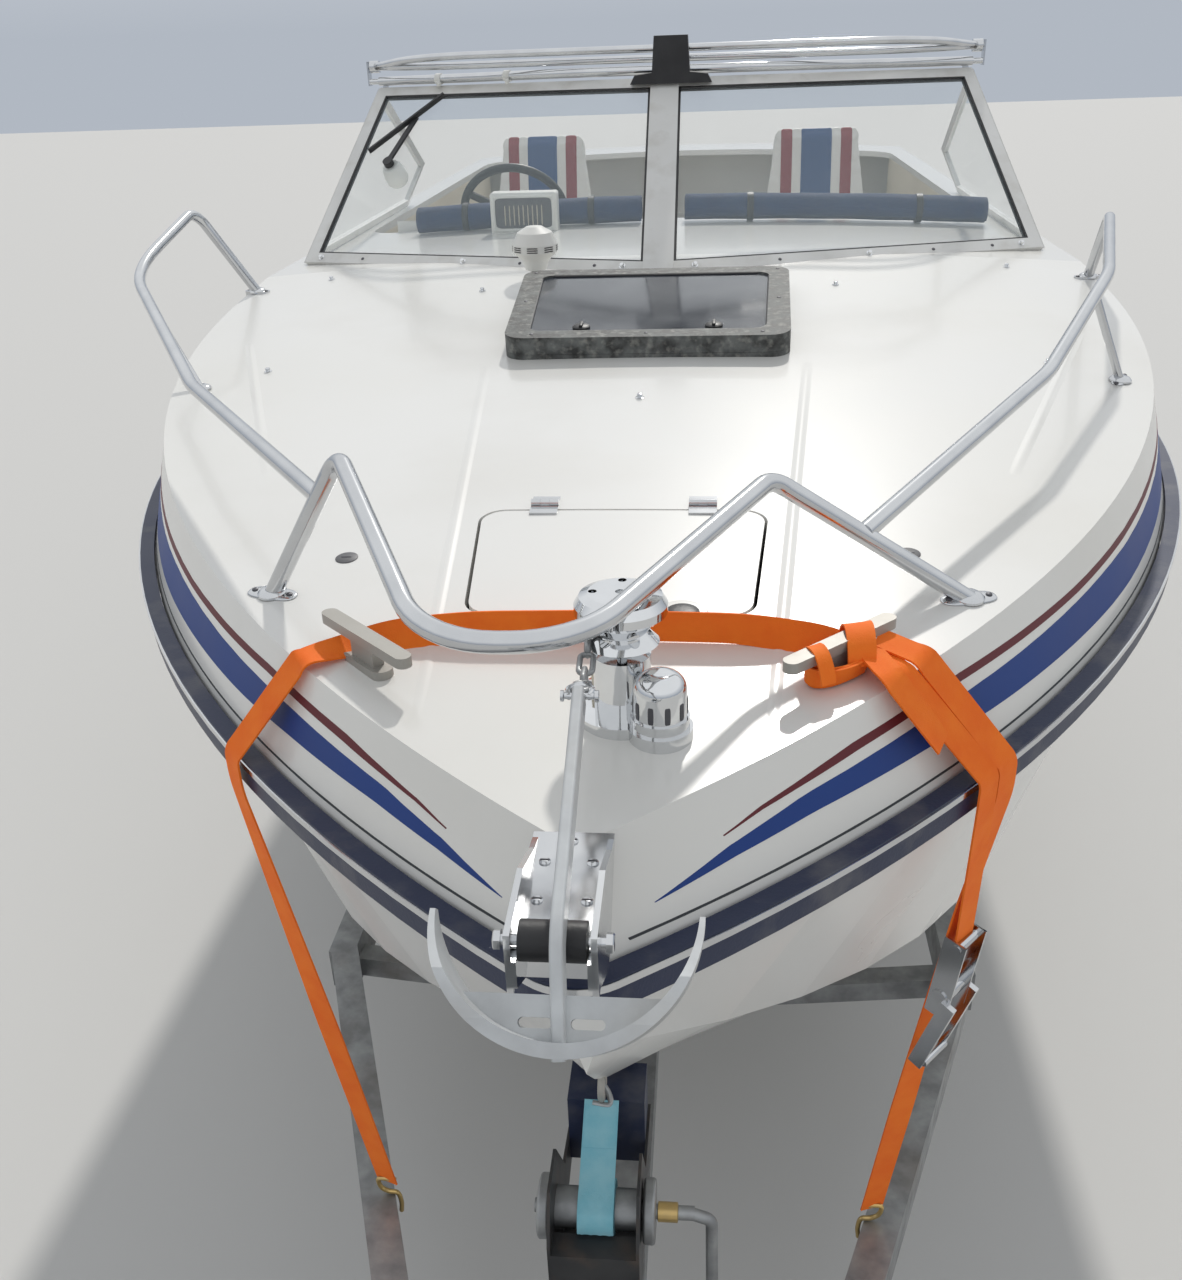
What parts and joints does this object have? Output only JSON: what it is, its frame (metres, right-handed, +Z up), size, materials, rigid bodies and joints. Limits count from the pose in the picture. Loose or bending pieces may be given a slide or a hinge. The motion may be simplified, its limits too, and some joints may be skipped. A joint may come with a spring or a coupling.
{
  "type": "cuddy speedboat on a road trailer",
  "caption": "Cabin speedboat with bow pulpit, anchor windlass, raked windscreen and raised stern drive, strapped to a galvanised road trailer that stands on its jack.",
  "frame": {"origin": "centre of the bounding box at ground level, under the trailer", "axes": "+X to port, +Y aft along the boat, +Z up"},
  "size_m": [2.3559, 7.9308, 2.4021],
  "materials": {
    "white_moulding": "gloss gelcoat",
    "navy_rubber": "matt",
    "polished_steel": "polished",
    "galvanised": "dull galvanised",
    "cream_lining": "matt",
    "floor_covering": "matt",
    "white_frame": "satin paint",
    "clear_pane": "clear",
    "smoked_pane": "smoked",
    "weathered_frame": "weathered black paint",
    "vinyl": "white vinyl with blue and red stripes",
    "white_plastic": "satin",
    "black_plastic": "matt",
    "engine_iron": "painted",
    "drive_alloy": "dark paint",
    "rim_steel": "silver paint",
    "tyre": "matt",
    "black_steel": "black paint",
    "orange_webbing": "woven",
    "teal_webbing": "woven",
    "bunk_carpet": "carpet",
    "blue_canvas": "woven"
  },
  "bodies": {
    "boat_and_trailer": {"hull": "white_moulding", "deck": "white_moulding", "rub_rail": "navy_rubber", "rub_strip": "polished_steel", "cockpit_sole": "floor_covering", "side_liners": "cream_lining", "dash": "white_moulding", "windscreen_frame": "white_frame", "windscreen_glass": "clear_pane", "screen_cap": "black_plastic", "wiper": "black_plastic", "top_rail": "polished_steel", "hatch_base": "weathered_frame", "fixed_hinges": "polished_steel", "anchor_locker": "white_moulding", "pulpit": "polished_steel", "cleats": "polished_steel", "windlass": "polished_steel", "bow_fitting": "polished_steel", "anchor": "galvanised", "deck_light": "white_plastic", "canvas_rolls": "blue_canvas", "instrument_box": "white_plastic", "seats": "vinyl", "seat_bases": "white_moulding", "bench_cushions": "vinyl", "engine_cover": "white_moulding", "engine": "engine_iron", "transom_shield": "drive_alloy", "trailer_frame": "galvanised", "axle": "galvanised", "mudguards": "galvanised", "bunks": "bunk_carpet", "keel_rollers": "navy_rubber", "winch_post": "black_steel", "bow_stop": "navy_rubber", "winch": "galvanised", "coupling": "galvanised", "jack": "galvanised", "tie_down_straps": "orange_webbing", "strap_ratchet": "polished_steel", "winch_strap": "teal_webbing"},
    "cabin_door": {"cabin_door": "cream_lining"},
    "hood": {"hood_bows": "polished_steel"},
    "hatch_lid": {"hatch_frame": "weathered_frame", "hatch_pane": "smoked_pane", "hatch_hinges": "polished_steel"},
    "locker_lid": {"locker_lid": "white_moulding", "locker_hinges": "polished_steel"},
    "windlass_drum": {"windlass_drum": "polished_steel"},
    "bow_roller": {"bow_roller": "black_plastic"},
    "steering_wheel": {"steering_wheel": "black_plastic"},
    "drive_yoke": {"drive_yoke": "drive_alloy"},
    "drive_leg": {"drive_leg": "drive_alloy"},
    "propeller": {"propeller": "drive_alloy"},
    "wheel_starboard": {"rim_starboard": "rim_steel", "tyre_starboard": "tyre"},
    "wheel_port": {"rim_port": "rim_steel", "tyre_port": "tyre"},
    "jack_leg": {"jack_leg": "galvanised"}
  },
  "joints": [
    {"name": "starboard_wheel_spin", "type": "hinge", "parent": "boat_and_trailer", "child": "wheel_starboard", "pos_m": [-1.055, 1.06477, 0.297], "axis": [1, 0, 0], "continuous": true},
    {"name": "port_wheel_spin", "type": "hinge", "parent": "boat_and_trailer", "child": "wheel_port", "pos_m": [1.055, 1.06477, 0.297], "axis": [1, 0, 0], "continuous": true},
    {"name": "drive_steer", "type": "hinge", "parent": "boat_and_trailer", "child": "drive_yoke", "pos_m": [0, 3.12477, 1.03], "axis": [0, 0, 1], "range_deg": [-28, 28]},
    {"name": "drive_tilt", "type": "hinge", "parent": "drive_yoke", "child": "drive_leg", "pos_m": [0, 3.12477, 1.03], "axis": [1, 0, 0], "range_deg": [-45, 6]},
    {"name": "propeller_spin", "type": "hinge", "parent": "drive_leg", "child": "propeller", "pos_m": [0, 3.84917, 0.73359], "axis": [0, 0.7431, 0.6691], "continuous": true},
    {"name": "helm_turn", "type": "hinge", "parent": "boat_and_trailer", "child": "steering_wheel", "pos_m": [-0.545, 0.55477, 1.868], "axis": [0, 0.8829, 0.4695], "range_deg": [-630, 630]},
    {"name": "cabin_door_swing", "type": "hinge", "parent": "boat_and_trailer", "child": "cabin_door", "pos_m": [-0.148, 0.23077, 1.37], "axis": [0, 0, 1], "range_deg": [0, 95]},
    {"name": "hatch_lid_lift", "type": "hinge", "parent": "boat_and_trailer", "child": "hatch_lid", "pos_m": [0, -0.76523, 1.86918], "axis": [-1, 0, 0], "range_deg": [0, 75]},
    {"name": "locker_lid_lift", "type": "hinge", "parent": "boat_and_trailer", "child": "locker_lid", "pos_m": [0, -1.99823, 1.74876], "axis": [-1, 0, 0], "range_deg": [0, 100]},
    {"name": "hood_bows_swing", "type": "hinge", "parent": "boat_and_trailer", "child": "hood", "pos_m": [0, 0.20307, 2.34477], "axis": [-1, 0, 0], "range_deg": [0, 105]},
    {"name": "windlass_spin", "type": "hinge", "parent": "boat_and_trailer", "child": "windlass_drum", "pos_m": [0.036, -2.55323, 1.77618], "axis": [0, 0, 1], "continuous": true},
    {"name": "bow_roller_spin", "type": "hinge", "parent": "boat_and_trailer", "child": "bow_roller", "pos_m": [0, -2.95523, 1.68286], "axis": [1, 0, 0], "continuous": true},
    {"name": "jack_slide", "type": "slide", "parent": "boat_and_trailer", "child": "jack_leg", "axis": [0, 0, 1], "range_m": [-0.05, 0.2]}
  ],
  "couplings": [
    {"joint": "helm_turn", "follows": "drive_steer", "ratio": -22}
  ]
}
